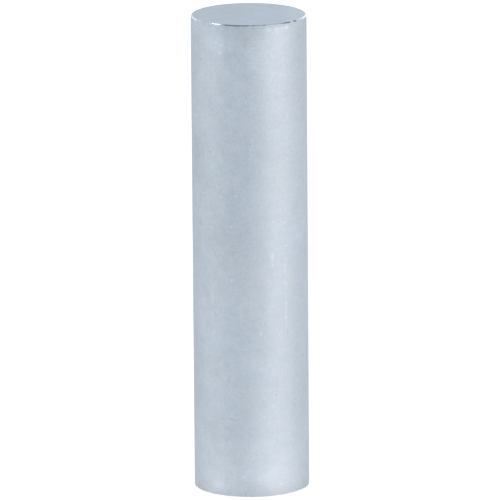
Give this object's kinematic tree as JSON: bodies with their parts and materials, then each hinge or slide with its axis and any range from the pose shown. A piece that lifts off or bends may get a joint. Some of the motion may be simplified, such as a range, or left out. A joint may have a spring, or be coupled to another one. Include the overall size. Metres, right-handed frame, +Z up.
{
  "type": "solid round aluminum spacer",
  "caption": "Plain solid aluminium cylinder with flat faced ends and small broken edges, used upright or lying as a distance piece between two surfaces.",
  "frame": {"origin": "centre of the bottom face, on the surface that the spacer stands on", "axes": "+Z up along the bar's axis to the top face; X and Y are equal, because the bar is round, and the pictured side faces -Y"},
  "size_m": [0.012, 0.012, 0.05],
  "materials": {
    "aluminium": "matte tumbled side, finely faced ends, burnished edge breaks"
  },
  "bodies": {
    "root": {"spacer": "aluminium"}
  },
  "joints": []
}
